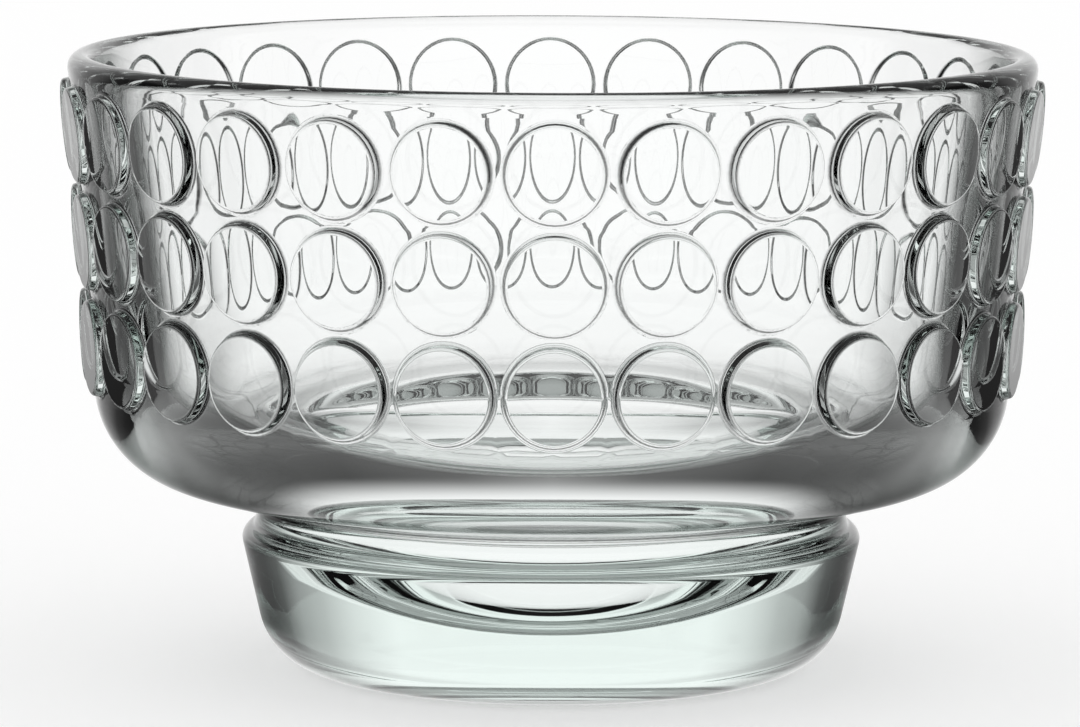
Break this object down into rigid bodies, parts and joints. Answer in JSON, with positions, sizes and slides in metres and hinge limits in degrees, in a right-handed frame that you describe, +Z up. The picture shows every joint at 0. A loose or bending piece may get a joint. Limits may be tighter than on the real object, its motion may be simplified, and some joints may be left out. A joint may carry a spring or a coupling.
{
  "type": "ice cream coupe",
  "caption": "Pressed glass coupe: a wide bowl with rows of raised round discs on its wall, standing on a short solid foot.",
  "frame": {"origin": "middle of the flat underside of the foot, on the axis of the bowl", "axes": "+Z up along the axis of the bowl, -Y towards the front of the picture, so a column of discs faces -Y"},
  "size_m": [0.1118, 0.1118, 0.0705],
  "materials": {
    "clear_glass": "clear pressed glass with a faint green cast in thick places, fire polished"
  },
  "bodies": {
    "root": {"coupe": "clear_glass"}
  },
  "joints": []
}
